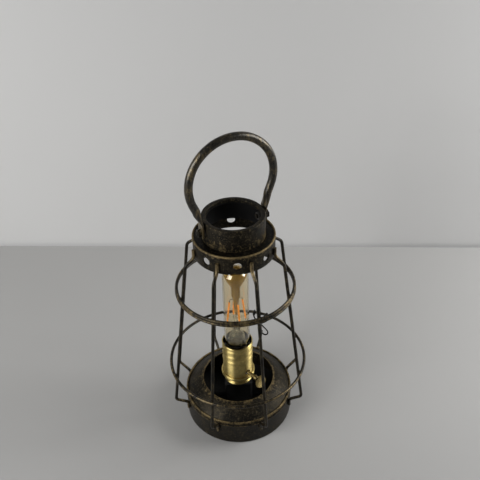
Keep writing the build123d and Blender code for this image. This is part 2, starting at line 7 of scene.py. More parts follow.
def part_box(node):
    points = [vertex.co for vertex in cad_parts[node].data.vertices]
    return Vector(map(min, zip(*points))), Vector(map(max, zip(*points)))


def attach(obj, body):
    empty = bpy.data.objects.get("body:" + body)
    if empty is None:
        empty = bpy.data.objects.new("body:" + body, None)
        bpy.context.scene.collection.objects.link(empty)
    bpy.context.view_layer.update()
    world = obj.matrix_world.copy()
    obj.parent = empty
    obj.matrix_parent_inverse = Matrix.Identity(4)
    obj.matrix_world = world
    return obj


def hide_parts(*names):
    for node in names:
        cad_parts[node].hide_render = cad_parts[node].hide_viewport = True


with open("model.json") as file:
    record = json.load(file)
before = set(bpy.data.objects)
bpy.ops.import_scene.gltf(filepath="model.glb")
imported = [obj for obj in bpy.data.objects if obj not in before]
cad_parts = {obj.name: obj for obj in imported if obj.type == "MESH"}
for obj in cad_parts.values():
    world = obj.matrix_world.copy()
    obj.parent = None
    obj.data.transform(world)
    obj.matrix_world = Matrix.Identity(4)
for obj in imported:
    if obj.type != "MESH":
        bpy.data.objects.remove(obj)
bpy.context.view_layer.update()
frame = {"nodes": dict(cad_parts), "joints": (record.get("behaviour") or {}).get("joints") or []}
nodes = frame["nodes"]
mm = 0.001

print("frame loaded:", len(nodes), "nodes")


# places that come from the frame, in millimetres
def span(node):
    low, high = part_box(node)
    return low / mm, high / mm


def outside(node):   # radius of a round node about the lantern's axis
    low, high = span(node)
    return max(high.x, high.y, -low.x, -low.y)


def bottom(node):
    return span(node)[0].z


def top(node):
    return span(node)[1].z


def heights(node):
    return bottom(node), top(node)


def middleHeight(node):
    return (bottom(node) + top(node)) / 2


def joint(name):
    return next(j for j in frame["joints"] if j["name"] == name)


bailAxis = Vector(joint("bail_swing")["axis"])
bailAngle = math.atan2(bailAxis.y, bailAxis.x)
pivotHeight = joint("bail_swing")["pos_m"][2] / mm
keyAxis = Vector(joint("key_turn")["axis"])
keyAngle = math.atan2(keyAxis.y, keyAxis.x)
keyHeight = joint("key_turn")["pos_m"][2] / mm


# modelling helpers
def freshStart():
    if bpy.context.mode != "OBJECT":
        bpy.ops.object.mode_set(mode="OBJECT")
    bpy.ops.object.select_all(action="DESELECT")


def pick(piece):
    freshStart()
    piece.select_set(True)
    bpy.context.view_layer.objects.active = piece


def leaveEdit():
    bpy.ops.object.mode_set(mode="OBJECT")


def edit(piece, choose=None):   # edit mode with all vertices, or those that choose() says, selected
    pick(piece)
    if choose:
        for poly in piece.data.polygons:
            poly.select = False
        for edge in piece.data.edges:
            edge.select = False
        for vertex in piece.data.vertices:
            vertex.select = bool(choose(vertex.co / mm))
    bpy.ops.object.mode_set(mode="EDIT")
    bpy.ops.mesh.select_mode(type="VERT")
    if not choose:
        bpy.ops.mesh.select_all(action="SELECT")


def named(name):
    piece = bpy.context.active_object
    piece.name = name
    piece.data.name = name
    return piece


def cylinder(name, radius, depth, vertices=32, **place):
    freshStart()
    bpy.ops.mesh.primitive_cylinder_add(radius=radius * mm, depth=depth * mm, vertices=vertices, **place)
    return named(name)


def cleaned(piece):   # joins what meets and turns every face outwards
    edit(piece)
    bpy.ops.mesh.remove_doubles(threshold=2e-6)
    bpy.ops.mesh.normals_make_consistent(inside=False)
    leaveEdit()


def settle(piece):   # bakes the object's own place into its mesh
    pick(piece)
    bpy.ops.object.transform_apply(location=True, rotation=True, scale=True)
    return piece


def chain(name, points):   # a line of vertices, extruded one after the other
    freshStart()
    bpy.ops.mesh.primitive_plane_add(size=mm)
    piece = named(name)
    bpy.ops.object.mode_set(mode="EDIT")
    bpy.ops.mesh.select_mode(type="VERT")
    bpy.ops.mesh.merge(type="CENTER")
    points = [Vector(p) * mm for p in points]
    bpy.ops.transform.translate(value=points[0])
    for start, end in zip(points, points[1:]):
        bpy.ops.mesh.extrude_region_move(TRANSFORM_OT_translate={"value": end - start})
    leaveEdit()
    return piece


def modifier(piece, kind, **settings):
    pick(piece)
    added = piece.modifiers.new(kind.lower(), kind)
    for key, value in settings.items():
        setattr(added, key, value)
    bpy.ops.object.modifier_apply(modifier=added.name)


def eased(piece, width, segments=2, angle=45):   # breaks the edges sharper than that angle
    modifier(piece, "BEVEL", width=width * mm, segments=segments, limit_method="ANGLE",
             angle_limit=math.radians(angle))


def smooth(piece, angle=35):
    pick(piece)
    bpy.ops.object.shade_smooth_by_angle(angle=math.radians(angle))


# A profile of (radius, height) points, spun round the lantern's axis.
def turned(name, profile, steps=128, soften=0.25, smoothAngle=40, sheet=None):
    onAxis = profile[0][0] == 0 and profile[-1][0] == 0
    ends = [] if sheet or onAxis else [profile[0]]
    piece = chain(name, [(r, 0, z) for r, z in list(profile) + ends])
    edit(piece)
    bpy.ops.mesh.spin(steps=steps, angle=2 * math.pi, center=(0, 0, 0), axis=(0, 0, 1))
    cleaned(piece)
    if sheet:
        modifier(piece, "SOLIDIFY", thickness=sheet * mm, offset=-1, use_even_offset=True)
    if soften:
        eased(piece, soften, angle=28)
    smooth(piece, smoothAngle)
    return piece


def arc(r, z, radius, start, end, count=8):   # points of a rounded stretch of a profile
    angles = [math.radians(start + (end - start) * n / count) for n in range(count + 1)]
    return [(r + radius * math.cos(a), z + radius * math.sin(a)) for a in angles]


def bentWire(name, points, thick, bend, bendCuts, runCuts, sides):   # straight runs, rounded bends
    piece = chain(name, points)
    ends = [Vector(points[0]), Vector(points[-1])]
    edit(piece, lambda co: min((co - end).length for end in ends) > 0.01)
    bpy.ops.mesh.bevel(offset=bend * mm, segments=bendCuts, affect="VERTICES")
    edit(piece)
    bpy.ops.mesh.subdivide(number_cuts=runCuts)
    pick(piece)
    bpy.ops.object.convert(target="CURVE")
    curve = bpy.context.active_object.data
    curve.bevel_depth = thick / 2 * mm
    curve.bevel_resolution = sides
    curve.use_fill_caps = True
    bpy.ops.object.convert(target="MESH")
    piece = named(name)
    cleaned(piece)
    smooth(piece, 50)
    return piece


def looseWire(name, points, thick):   # hand-bent: one smooth curve led by its points
    piece = chain(name, points)
    pick(piece)
    bpy.ops.object.convert(target="CURVE")
    wire = bpy.context.active_object
    bpy.ops.object.mode_set(mode="EDIT")
    bpy.ops.curve.select_all(action="SELECT")
    bpy.ops.curve.spline_type_set(type="NURBS")
    leaveEdit()
    for spline in wire.data.splines:
        spline.order_u = 3
        spline.use_endpoint_u = True
        spline.resolution_u = 5
    wire.data.bevel_depth = thick / 2 * mm
    wire.data.bevel_resolution = 2
    wire.data.use_fill_caps = True
    bpy.ops.object.convert(target="MESH")
    piece = named(name)
    smooth(piece, 50)
    return piece


def copied(piece, name):
    other = piece.copy()
    other.data = piece.data.copy()
    other.name = name
    other.data.name = name
    bpy.context.collection.objects.link(other)
    return other


def turnedCopy(piece, name, angle):
    other = copied(piece, name)
    other.rotation_euler = (0, 0, angle)
    return settle(other)


def joined(name, parts):
    freshStart()
    for part in parts:
        part.select_set(True)
    bpy.context.view_layer.objects.active = parts[0]
    bpy.ops.object.join()
    return named(name)


def placed(piece, matrix):
    pick(piece)
    piece.matrix_world = matrix
    return settle(piece)


def alongAxis(angle, height, distance=0):   # a frame whose Z runs outwards at that angle and height
    out = Vector((math.cos(angle), math.sin(angle), 0))
    side = Vector((-out.y, out.x, 0))
    turn = Matrix((side, Vector((0, 0, 1)), out)).transposed().to_4x4()
    return Matrix.Translation(Vector((0, 0, height)) * mm + out * distance * mm) @ turn


def cutWith(piece, cutter):
    modifier(piece, "BOOLEAN", operation="DIFFERENCE", object=cutter, solver="EXACT")
    bpy.data.objects.remove(cutter)


def roughen(piece, size, strength, direction="NORMAL"):   # hand-work: low dents and bends
    clouds = bpy.data.textures.new(piece.name + "Dents", "CLOUDS")
    clouds.noise_scale = size * mm
    clouds.noise_depth = 2
    modifier(piece, "DISPLACE", texture=clouds, texture_coords="LOCAL", strength=strength * mm,
             mid_level=0.5, direction=direction)


# How much of the paint is rubbed off at each vertex, with some painted highlight and shade in it: 1 is
# most of it, and below -0.5 the surface is painted plain black, partly as painted shade.
def wearAndPaintedLight(piece, amount):
    rubAndPaintedLight = piece.data.attributes.new("rubAndPaintedLight", "FLOAT", "POINT")
    rubAndPaintedLight.data.foreach_set("value", [min(max(amount(v.co / mm), -1.0), 1.0) for v in piece.data.vertices])


def near(value, centre, width):   # 1 at centre, fading to 0 at width
    return max(0.0, 1 - abs(value - centre) / width)


def reach(co):   # distance from the lantern's axis
    return math.hypot(co.x, co.y)


# materials
def newMaterial(name):
    material = bpy.data.materials.new(name)
    material.use_nodes = True
    tree = material.node_tree
    shader = next(n for n in tree.nodes if n.type == "BSDF_PRINCIPLED")
    place = add(tree, "TexCoord").outputs["Object"]
    return material, tree, shader, place


def add(tree, kind, **values):
    node = tree.nodes.new("ShaderNode" + kind)
    for key, value in values.items():
        if hasattr(node, key) and key not in node.inputs:
            setattr(node, key, value)
        else:
            node.inputs[key].default_value = value
    return node


def noise(tree, source, scale, detail=4.0, roughness=0.6, stretch=None):
    if stretch:
        mapping = add(tree, "Mapping", Scale=stretch)
        tree.links.new(source, mapping.inputs["Vector"])
        source = mapping.outputs["Vector"]
    node = add(tree, "TexNoise", Scale=scale, Detail=detail, Roughness=roughness)
    tree.links.new(source, node.inputs["Vector"])
    return node.outputs["Fac"]


def ramp(tree, source, *stops):
    node = add(tree, "ValToRGB")
    elements = node.color_ramp.elements
    while len(elements) < len(stops):
        elements.new(0.5)
    for element, (place, colour) in zip(elements, stops):
        element.position = place
        element.color = (*colour, 1) if isinstance(colour, tuple) else (colour, colour, colour, 1)
    tree.links.new(source, node.inputs["Fac"])
    return node.outputs["Color"]


def mixed(tree, factor, first, second, blend="MIX"):
    node = add(tree, "Mix", data_type="RGBA", blend_type=blend)
    colours = [s for s in node.inputs if s.type == "RGBA"]
    for socket, value in zip(colours, (first, second)):
        if isinstance(value, tuple):
            socket.default_value = (*value, 1)
        else:
            tree.links.new(value, socket)
    if isinstance(factor, float):
        node.inputs[0].default_value = factor
    else:
        tree.links.new(factor, node.inputs[0])
    return next(s for s in node.outputs if s.type == "RGBA")


def maths(tree, operation, first, second):
    node = add(tree, "Math", operation=operation)
    for socket, value in zip(node.inputs, (first, second)):
        if isinstance(value, (int, float)):
            socket.default_value = value
        else:
            tree.links.new(value, socket)
    return node.outputs[0]


def bumped(tree, shader, height, strength, distance):
    node = add(tree, "Bump", Strength=strength, Distance=distance * mm)
    tree.links.new(height, node.inputs["Height"])
    tree.links.new(node.outputs["Normal"], shader.inputs["Normal"])


def surfaced(tree, shader, colour, roughness):
    tree.links.new(colour, shader.inputs["Base Color"])
    tree.links.new(roughness, shader.inputs["Roughness"])


# Black-bronze paint, mottled brown, rubbed through to dull gold where the piece's rub attribute says; that
# attribute also carries some painted highlight, and below -0.5 plain black that is partly painted shade.
def agedIron(name, gold=0.0, blotch=70, darkness=1.0, streak=None, speck=0.45, rough=0.38, shine=0.12):
    material, tree, shader, place = newMaterial(name)
    blotches = noise(tree, place, blotch, 5, 0.65)
    grain = noise(tree, place, 1100, 3, 0.7)
    patches = noise(tree, place, 330, 6, 0.75, streak)
    dark = tuple(v * darkness for v in (0.007, 0.0066, 0.0055))
    brown = tuple(v * darkness for v in (0.026, 0.021, 0.013))
    base = ramp(tree, blotches, (0.38, dark), (0.72, brown))
    base = mixed(tree, ramp(tree, patches, (0.53, 0.0), (0.66, 0.8)), base, (0.085, 0.068, 0.040))
    rubAndPaintedLight = add(tree, "Attribute", attribute_name="rubAndPaintedLight").outputs["Fac"]
    spread = maths(tree, "MULTIPLY", maths(tree, "SUBTRACT", patches, 0.5), 1.9)
    wornAndPaintedLight = maths(tree, "ADD", maths(tree, "ADD", rubAndPaintedLight, gold - 0.35), spread)
    wornAndPaintedLight = maths(tree, "ADD", wornAndPaintedLight, maths(tree, "MULTIPLY", maths(tree, "SUBTRACT", blotches, 0.5), 0.8))
    mask = ramp(tree, wornAndPaintedLight, (0.15, 0.0), (0.75, 1.0))
    colour = mixed(tree, mask, base, (0.235, 0.172, 0.080))
    specks = noise(tree, place, 900, 3, 0.6)
    colour = mixed(tree, ramp(tree, specks, (0.60, 0.0), (0.72, speck)), colour, (0.24, 0.19, 0.11))
    hidden = maths(tree, "LESS_THAN", rubAndPaintedLight, -0.5)   # where the rub is under -0.5 the surface is plain black: unworn paint and painted shade
    colour = mixed(tree, hidden, colour, (0.009, 0.009, 0.009))
    surfaced(tree, shader, colour, ramp(tree, patches, (0.3, rough), (0.7, rough + 0.2)))
    shader.inputs["Metallic"].default_value = 0.6
    shader.inputs["Specular IOR Level"].default_value = shine
    height = maths(tree, "ADD", maths(tree, "MULTIPLY", grain, 0.4), blotches)
    height = maths(tree, "ADD", height, maths(tree, "MULTIPLY", patches, 0.5))
    bumped(tree, shader, height, 0.65, 0.35)
    return material


# Brass finished on a lathe: fine rings round it stretch every highlight along its length.
def turnedBrass(name, tone=(0.66, 0.52, 0.20), rough=0.37, lines=True):
    material, tree, shader, place = newMaterial(name)
    tarnish = noise(tree, place, 110, 6, 0.7)
    colour = ramp(tree, tarnish, (0.35, tuple(v * 0.66 for v in tone)), (0.6, tone))
    surfaced(tree, shader, colour, ramp(tree, tarnish, (0.3, rough + 0.08), (0.65, rough)))
    shader.inputs["Metallic"].default_value = 1.0
    if lines:
        rings = noise(tree, place, 40, 3, 0.6, (1, 1, 90))
        bumped(tree, shader, rings, 0.3, 0.12)
        around = add(tree, "Tangent", direction_type="RADIAL", axis="Z")
        tree.links.new(around.outputs["Tangent"], shader.inputs["Tangent"])
        shader.inputs["Anisotropic"].default_value = 0.93
        shader.inputs["Anisotropic Rotation"].default_value = 0.25
    else:
        bumped(tree, shader, tarnish, 0.15, 0.1)
    return material


def plainSteel(name, tone=(0.20, 0.19, 0.18), rough=0.42):
    material, tree, shader, place = newMaterial(name)
    stain = noise(tree, place, 260, 5, 0.7)
    colour = ramp(tree, stain, (0.35, tuple(v * 0.45 for v in tone)), (0.7, tone))
    surfaced(tree, shader, colour, ramp(tree, stain, (0.3, rough + 0.15), (0.7, rough)))
    shader.inputs["Metallic"].default_value = 0.9
    bumped(tree, shader, stain, 0.2, 0.15)
    return material


# Near-black paint for the pieces inside the base, its tone set to the hollow's darkness: partly paint,
# partly painted shade.
def blackPaintAndShade(name):
    material, tree, shader, place = newMaterial(name)
    orangePeel = noise(tree, place, 700, 2, 0.5)
    dust = noise(tree, place, 45, 5, 0.7)
    colour = ramp(tree, dust, (0.4, (0.014, 0.014, 0.014)), (0.8, (0.026, 0.025, 0.023)))
    surfaced(tree, shader, colour, ramp(tree, dust, (0.3, 0.6), (0.7, 0.85)))
    shader.inputs["Specular IOR Level"].default_value = 0.12
    bumped(tree, shader, orangePeel, 0.15, 0.1)
    return material


# Below the given height (in millimetres) the glass is painted black and opaque: painted shade of the dark
# gap between the neck and the lamp holder.
def tintedGlass(name, tint, rough=0.015, ior=1.47, paintedShadeBelow=None, haze=0.0):
    material, tree, shader, place = newMaterial(name)
    ripple = noise(tree, place, 35, 2, 0.5, (1, 1, 0.3))
    pale = tuple(min(1.0, v * 1.04) for v in tint)
    colour = ramp(tree, ripple, (0.35, tint), (0.65, pale))
    if paintedShadeBelow:
        height = add(tree, "SeparateXYZ")
        tree.links.new(place, height.inputs[0])
        above = maths(tree, "GREATER_THAN", height.outputs["Z"], paintedShadeBelow * mm)
        colour = mixed(tree, above, (0.004, 0.004, 0.004), colour)
        tree.links.new(above, shader.inputs["Transmission Weight"])
    else:
        shader.inputs["Transmission Weight"].default_value = 1.0 - haze
    tree.links.new(colour, shader.inputs["Base Color"])
    shader.inputs["Roughness"].default_value = rough
    shader.inputs["IOR"].default_value = ior
    shader.inputs["Specular IOR Level"].default_value = 0.9
    bumped(tree, shader, ripple, 0.06, 0.4)
    return material


def coated(name, tone, rough, grainSize=500, paintedGlow=0.0, sheenless=False):
    material, tree, shader, place = newMaterial(name)
    grain = noise(tree, place, grainSize, 4, 0.65)
    shade = ramp(tree, grain, (0.35, tuple(v * 0.75 for v in tone)), (0.65, tone))
    surfaced(tree, shader, shade, ramp(tree, grain, (0.3, min(1.0, rough + 0.12)), (0.7, rough)))
    if sheenless:
        shader.inputs["Specular IOR Level"].default_value = 0.1
    # painted glow: the surface emits its own colour though it is no lamp
    if paintedGlow:
        tree.links.new(shade, shader.inputs["Emission Color"])
        shader.inputs["Emission Strength"].default_value = paintedGlow
    bumped(tree, shader, grain, 0.15, 0.1)
    return material


iron = agedIron("agedIron")
ironWire = agedIron("agedIronWire", gold=0.1, blotch=95, darkness=1.2, streak=(1, 1, 0.3), rough=0.28,
                    shine=0.3)
ironBail = agedIron("agedIronBail", gold=0.2, blotch=60, darkness=2.0, streak=(1, 1, 0.4), rough=0.22,
                    shine=0.9)
# a darker copy of the iron for the collar ledge: painted shade round the chimney's foot
ironPaintedShade = agedIron("agedIronPaintedShade", gold=-0.3, darkness=0.35, speck=0.0)
brass = turnedBrass("satinBrass")
brassKey = turnedBrass("keyBrass", tone=(0.17, 0.13, 0.055), rough=0.36, lines=False)
brassDull = turnedBrass("dullBrass", tone=(0.40, 0.31, 0.15), rough=0.4, lines=False)
steel = plainSteel("dullSteel")
leadWire = plainSteel("leadWire", tone=(0.45, 0.40, 0.30), rough=0.3)
solder = plainSteel("solder", tone=(0.55, 0.55, 0.53), rough=0.35)
annealed = plainSteel("annealedWire", tone=(0.020, 0.019, 0.017), rough=0.45)
black = blackPaintAndShade("blackPaintAndShade")
paintedShadeRise = 10.3   # the painted shade reaches this far up the bulb's neck
amber = tintedGlass("amberGlass", (0.965, 0.89, 0.72), paintedShadeBelow=bottom("bulb_glass") + paintedShadeRise)
amberDeep = tintedGlass("deepAmberGlass", (0.50, 0.35, 0.11), rough=0.02, haze=0.6)
stemGlass = tintedGlass("stemGlass", (0.76, 0.78, 0.76), rough=0.06, ior=1.15, haze=0.12)
# the unlit filaments emit a little of their own colour: a painted glow
phosphor = coated("orangePhosphor", (0.95, 0.36, 0.05), 0.5, paintedGlow=0.35)
blackGlass = coated("blackGlass", (0.012, 0.011, 0.012), 0.12)
porcelain = coated("porcelain", (0.74, 0.71, 0.64), 0.2, grainSize=180)
fibre = coated("blackFibre", (0.003, 0.003, 0.003), 0.8, grainSize=900, sheenless=True)
rubber = coated("rubber", (0.018, 0.018, 0.018), 0.65, grainSize=800)
print("materials ready")


def finished(piece, material, body, slot, *replaced):
    piece.data.materials.clear()
    piece.data.materials.append(material)
    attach(piece, body)
    if replaced:
        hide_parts(*replaced)
    return piece


# camera, floor and light
view = {
    "eye": (0.0064, -0.5572, 0.6474),
    "right": (0.99966, -0.01513, -0.02137),
    "up": (0.02618, 0.5777, 0.8158),
    "lens": 48.37,
    "sensor": 36,
    "nearest": 0.02,
}


def makeCamera():
    freshStart()
    bpy.ops.object.camera_add(location=view["eye"])
    camera = bpy.context.active_object
    camera.name = "camera"
    right = Vector(view["right"]).normalized()
    up = Vector(view["up"])
    up = (up - right * up.dot(right)).normalized()
    camera.matrix_world = Matrix.Translation(view["eye"]) @ Matrix(
        (right, up, right.cross(up))).transposed().to_4x4()
    camera.data.lens = view["lens"]
    camera.data.sensor_width = view["sensor"]
    camera.data.clip_start = view["nearest"]
    bpy.context.scene.camera = camera


lights = {
    "leftSoftBox": ((-0.82, -0.58, 0.60), 12),     # where it stands, and its power
    "rightSoftBox": ((0.96, 0.16, 0.58), 16),
    "aim": (0, 0, 0.15),
    "size": 0.72,
    "sky": (0.95, 0.97, 1.0, 1),
    "skyStrength": 0.09,
}


def softBox(name):
    place, power = lights[name]
    freshStart()
    bpy.ops.object.light_add(type="AREA", location=place)
    lamp = bpy.context.active_object
    lamp.name = name
    lamp.data.shape = "RECTANGLE"
    lamp.data.size = lights["size"]
    lamp.data.size_y = lights["size"]
    lamp.data.energy = power
    lamp.rotation_mode = "QUATERNION"
    lamp.rotation_quaternion = (Vector(lights["aim"]) - Vector(place)).to_track_quat("-Z", "Y")


def makeSky():
    world = bpy.data.worlds.new("studio")
    bpy.context.scene.world = world
    world.use_nodes = True
    background = world.node_tree.nodes["Background"]
    background.inputs["Color"].default_value = lights["sky"]
    background.inputs["Strength"].default_value = lights["skyStrength"]


stageLook = {
    "size": 12,
    "tableEdge": 0.337,
    "gap": 0.005,
    "wallMiddle": 5,
    "turn": -2.9,
    "floorTone": (0.335, 0.331, 0.323),
    "floorFade": (-0.3, 0.9, 0.35, 1.16),     # painted light, from this place and brightness to that one: the floor darker in front and lighter at the back
    "wallTone": (0.535, 0.532, 0.524),
    # painted light: the wall is lighter at the bottom and darker at the top
    "wallFade": (0.0, 1.13, 0.75, 0.9),
}


def makeStage():
    level = Matrix.Rotation(math.radians(stageLook["turn"]), 4, "Z")
    edge = stageLook["tableEdge"]
    size = stageLook["size"]
    floorPlace = (0, edge - size / 2, 0)
    wallPlace = (0, edge + stageLook["gap"], stageLook["wallMiddle"])
    for name, place, tilt, axis in (("floor", floorPlace, 0, "Y"), ("wall", wallPlace, math.pi / 2, "Z")):
        tone = stageLook[name + "Tone"]
        first, firstPaintedLight, last, lastPaintedLight = stageLook[name + "Fade"]
        freshStart()
        bpy.ops.mesh.primitive_plane_add(size=size, location=place, rotation=(tilt, 0, 0))
        sheet = named(name)
        sheet.matrix_world = level @ sheet.matrix_world
        settle(sheet)
        material, tree, shader, ground = newMaterial(name + "Paper")
        spread = noise(tree, ground, 3.0, 2, 0.5)
        along = add(tree, "SeparateXYZ")
        tree.links.new(ground, along.inputs[0])
        # painted light: the sheet's tone is scaled from one brightness to another along one axis
        fade = add(tree, "MapRange")
        tree.links.new(along.outputs[axis], fade.inputs["Value"])
        fade.inputs["From Min"].default_value = first
        fade.inputs["From Max"].default_value = last
        shade = ramp(tree, fade.outputs["Result"], (0.0, tuple(v * firstPaintedLight for v in tone)),
                     (1.0, tuple(v * lastPaintedLight for v in tone)))
        shade = mixed(tree, ramp(tree, spread, (0.3, 0.0), (0.7, 0.3)), shade, tone)
        tree.links.new(shade, shader.inputs["Base Color"])
        shader.inputs["Roughness"].default_value = 0.75
        behind = add(tree, "NewGeometry").outputs["Backfacing"]   # each sheet is clear from its far side
        tree.links.new(maths(tree, "SUBTRACT", 1.0, behind), shader.inputs["Alpha"])
        sheet.data.materials.append(material)


makeCamera()
makeStage()
softBox("leftSoftBox")
softBox("rightSoftBox")
makeSky()
bpy.context.scene.view_settings.view_transform = "Standard"
print("camera, floor and lights ready")


# base
drum = {
    "sheet": 1.5,
    "flange": 8.0,
    "swage": 0.45,      # low ridge pressed round the wall under the rim
    "swageDrop": 3.4,
    "rimWire": 2.2,
    "hem": 2.0,
    "skirt": 6.0,
    "knee": (4.5, 3.9),     # how far in and up the skirt bends before the cone
    "brow": (9.0, 5.9),     # how far out and down the cone ends before the opening
    "mouth": 43.3,      # radius of the opening round the lamp holder
    "inlet": 10.0,
}


def makeDrum():
    radius = outside("base_drum")
    low, high = heights("base_drum")
    swage = high - drum["swageDrop"]
    inner = radius - drum["sheet"]
    profile = [(radius - drum["flange"], low), (radius - 0.6, low), (radius, low + 0.6)]
    profile += [(radius, swage - 1.6), (radius + drum["swage"] * 0.7, swage - 0.8),
                (radius + drum["swage"], swage), (radius + drum["swage"] * 0.7, swage + 0.8),
                (radius, swage + 1.6)]
    profile += [(radius, high), (inner, high), (inner, low + drum["sheet"]),
                (radius - drum["flange"], low + drum["sheet"])]
    wall = turned("drumWall", profile, steps=160)
    inletHeight = middleHeight("cord_grommet")
    inlet = cylinder("inletCutter", drum["inlet"] / 2, 14, 40)
    cutWith(wall, placed(inlet, alongAxis(math.pi / 2, inletHeight, radius)))
    smooth(wall, 40)
    wearAndPaintedLight(wall, lambda co: 0.55 * near(co.z, swage, 2.2) + 0.6 * near(co.z, high, 1.5)
         + 0.45 * near(co.z, low, 2.0) + 0.1)
    return finished(wall, iron, "lantern", "aged_iron", "base_drum")


def makeRim():
    radius = outside("drum_rim") - drum["rimWire"] / 2
    height = middleHeight("drum_rim")
    rim = turned("drumRim", arc(radius, height, drum["rimWire"] / 2, 0, 330, 11), steps=160, soften=0)
    wearAndPaintedLight(rim, lambda co: 0.75)
    return finished(rim, iron, "lantern", "aged_iron", "drum_rim")


def makeShoulder():
    outer = outside("base_shoulder")
    low, high = heights("base_shoulder")
    knee = low + drum["skirt"]
    hem = drum["hem"] / 2
    mouth = drum["mouth"]
    sheet = drum["sheet"]
    kneeIn, kneeUp = drum["knee"]
    browOut, browDown = drum["brow"]
    profile = [(outer - sheet, low), (outer, low), (outer, knee)]
    profile += [(outer - kneeIn, knee + kneeUp), (mouth + browOut, high - browDown)]
    profile += arc(mouth, high - hem, hem, 70, 290, 9)
    profile += [(mouth + browOut, high - browDown - sheet * 1.25),
                (outer - kneeIn, knee + kneeUp - sheet * 1.3), (outer - sheet, knee - 0.5)]
    shoulder = turned("baseShoulder", profile, steps=160, soften=0.4)
    roughen(shoulder, 26, 0.35)
    wearAndPaintedLight(shoulder, lambda co: 0.9 * near(reach(co), mouth, 1.2) * (co.z > high - 1.6)
         + 0.35 * near(reach(co), outer, 4.0) + 0.02)
    return finished(shoulder, iron, "lantern", "aged_iron", "base_shoulder")


makeDrum()
makeRim()
makeShoulder()
print("base done")


# wire cage
cage = {
    "ribWire": 3.6,
    "weldGap": 0.02,
    "tabRise": 13.4,
    "tabBendRise": 3.0,
    "flareDrop": 5.3,
    "kneeRise": 8.4,
    "footDrop": 3.1,
    "footLength": 10.0,
    "bend": 3.4,
    "bendCuts": 7,
    "runCuts": 2,
    "wireSides": 4,
    "ribs": 8,
    "firstRib": 22.5,
    "tabWear": 4,       # hands rub the ribs from this far under the collar
    "footWear": 10,
    "weldSize": 2.3,
    "ringWeld": (-0.3, (0.62, 0.95, 0.62)),     # height over its place, and its proportions
    "tabWeld": (8.5, (0.42, 1.1, 1.9)),
    "footWeld": (-8.6, (0.42, 1.25, 2.0)),
}
ringWires = {"upper_ring_top": 3.4, "upper_ring_bottom": 3.4, "lower_ring": 3.6}


def ringMiddle(node):
    return outside(node) - ringWires[node] / 2, middleHeight(node)


def ribRadius(height):   # the ribs run just inside the rings
    lowRadius, lowHeight = ringMiddle("lower_ring")
    highRadius, highHeight = ringMiddle("upper_ring_top")
    slope = (lowRadius - highRadius - 0.1) / (highHeight - lowHeight)
    lean = math.cos(math.atan(slope))
    lowRadius -= (cage["ribWire"] + ringWires["lower_ring"]) / 2 / lean + cage["weldGap"]
    return lowRadius - (height - lowHeight) * slope


def ribAngle(number):
    return math.radians(cage["firstRib"] + number * 360 / cage["ribs"] - 90)


def ribPoints():
    collar = bottom("collar_band")
    drumTop = top("base_drum")
    half = cage["ribWire"] / 2 + cage["weldGap"]
    tab = outside("collar_band") + half
    foot = outside("base_drum") + half
    flare = collar - cage["flareDrop"]
    knee = drumTop + cage["kneeRise"]
    return [
        (tab, 0, collar + cage["tabRise"]),
        (tab, 0, collar + cage["tabBendRise"]),
        (ribRadius(flare), 0, flare),
        (ribRadius(knee), 0, knee),
        (foot, 0, drumTop - cage["footDrop"]),
        (foot, 0, drumTop - cage["footDrop"] - cage["footLength"]),
    ]


def makeRibs():
    rib = bentWire("cageRib", ribPoints(), cage["ribWire"], cage["bend"], cage["bendCuts"],
                   cage["runCuts"], cage["wireSides"])
    tabLow = bottom("collar_band") - cage["tabWear"]
    footTop = top("base_drum") + cage["footWear"]
    for number in range(cage["ribs"]):
        copy = turnedCopy(rib, f"cageRib{number + 1}", ribAngle(number))
        wearAndPaintedLight(copy, lambda co: 0.16 + 0.5 * (co.z > tabLow) * min(1, (co.z - tabLow) / 6)
             + 0.22 * (co.z < footTop) + 0.16 * math.sin(co.z * 0.11 + number * 1.7))
        finished(copy, ironWire, "lantern", "aged_iron", f"cage_rib_{number + 1}")
    bpy.data.objects.remove(rib)


def makeRing(name, node, tilt=0.0):
    radius, height = ringMiddle(node)
    freshStart()
    bpy.ops.mesh.primitive_torus_add(major_radius=radius * mm, minor_radius=ringWires[node] / 2 * mm,
                                     major_segments=192, minor_segments=14, location=(0, 0, height * mm),
                                     rotation=(0, math.radians(tilt), 0))
    ring = settle(named(name))
    roughen(ring, 70, 1.0, "Z")   # bent by hand, so never quite flat
    smooth(ring, 180)
    # gold on the wire's upper outer face is partly rubbed wear and partly a painted highlight where the
    # lights catch its top
    wearAndPaintedLight(ring, lambda co: 0.05 + 0.2 * math.sin(3 * math.atan2(co.y, co.x) + height) ** 2
         + 0.36 * (reach(co) > radius + 0.2) * (co.z > height - 0.9))
    return finished(ring, ironWire, "lantern", "aged_iron", node)


def makeWelds():   # a small fillet of metal wherever a rib meets a ring, the collar or the drum
    freshStart()
    bpy.ops.mesh.primitive_ico_sphere_add(subdivisions=3, radius=cage["weldSize"] * mm)
    bead = named("weldBead")
    roughen(bead, 1.6, 1.0)
    lumps = []
    spots = []
    for node in ringWires:
        radius, height = ringMiddle(node)
        spots.append((radius - ringWires[node] * 0.52, height, cage["ringWeld"]))
    spots.append((outside("collar_band") + 0.3, bottom("collar_band"), cage["tabWeld"]))
    spots.append((outside("base_drum") + 0.3, top("base_drum"), cage["footWeld"]))
    for number in range(cage["ribs"]):
        angle = ribAngle(number)
        for radius, level, (rise, scale) in spots:
            height = level + rise
            lump = copied(bead, "lump")
            lump.scale = scale
            lump.rotation_euler = (0, 0, angle)
            lump.location = Vector((math.cos(angle) * radius, math.sin(angle) * radius, height)) * mm
            lumps.append(settle(lump))
    bpy.data.objects.remove(bead)
    welds = joined("cageWelds", lumps)
    smooth(welds, 180)
    wearAndPaintedLight(welds, lambda co: 0.35)
    return finished(welds, iron, "lantern", "aged_iron")


